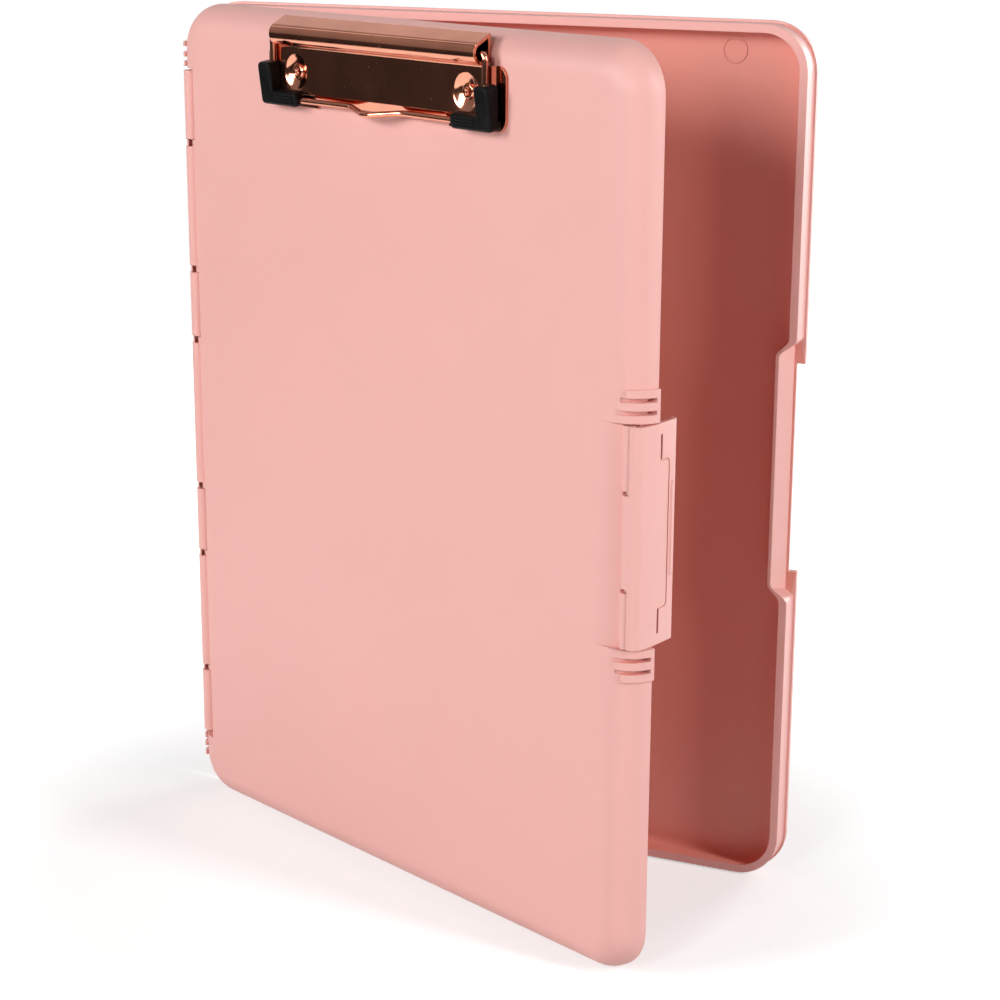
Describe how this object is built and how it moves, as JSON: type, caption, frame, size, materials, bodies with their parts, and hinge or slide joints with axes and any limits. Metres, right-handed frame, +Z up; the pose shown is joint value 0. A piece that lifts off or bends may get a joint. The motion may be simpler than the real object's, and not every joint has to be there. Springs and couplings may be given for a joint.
{
  "type": "storage clipboard box",
  "caption": "Slim hinged storage case whose cover is a clipboard, with a rolled spring clip at the top and a swinging side latch.",
  "frame": {"origin": "on the floor plane under the middle of the part's bounding box, as it stands with its cover 23 degrees open", "axes": "+Z up along the standing height; +Y out of the case's flat back; -X is the hinge side and +X the latch side of the case"},
  "size_m": [0.246, 0.115, 0.318],
  "materials": {
    "case_plastic": "fine satin moulded surface, salmon pink",
    "copper_plated_steel": "polished rose copper plating",
    "cap_rubber": "black, satin",
    "pin_steel": "drawn wire"
  },
  "bodies": {
    "case": {"rear_case": "case_plastic", "hinge_pin": "pin_steel"},
    "cover": {"front_cover": "case_plastic", "clip_plate": "copper_plated_steel", "left_rivet": "copper_plated_steel", "right_rivet": "copper_plated_steel", "left_washer": "pin_steel", "right_washer": "pin_steel", "latch_pin": "pin_steel"},
    "latch": {"latch": "case_plastic"},
    "bail": {"clip_bail": "copper_plated_steel", "left_corner_cap": "cap_rubber", "right_corner_cap": "cap_rubber"}
  },
  "joints": [
    {"name": "cover_hinge", "type": "hinge", "parent": "case", "child": "cover", "pos_m": [-0.1198, 0.04001, 0.159], "axis": [0, 0, -1], "range_deg": [-23, 157]},
    {"name": "latch_hinge", "type": "hinge", "parent": "cover", "child": "latch", "pos_m": [0.09859, -0.05486, 0.159], "axis": [0, 0, -1], "range_deg": [0, 110]},
    {"name": "bail_hinge", "type": "hinge", "parent": "cover", "child": "bail", "pos_m": [-0.01312, -0.01527, 0.3109], "axis": [-0.9205, 0.3907, 0], "range_deg": [0, 100], "stiffness_Nm_per_rad": 0.3, "springref_deg": -34.38}
  ]
}
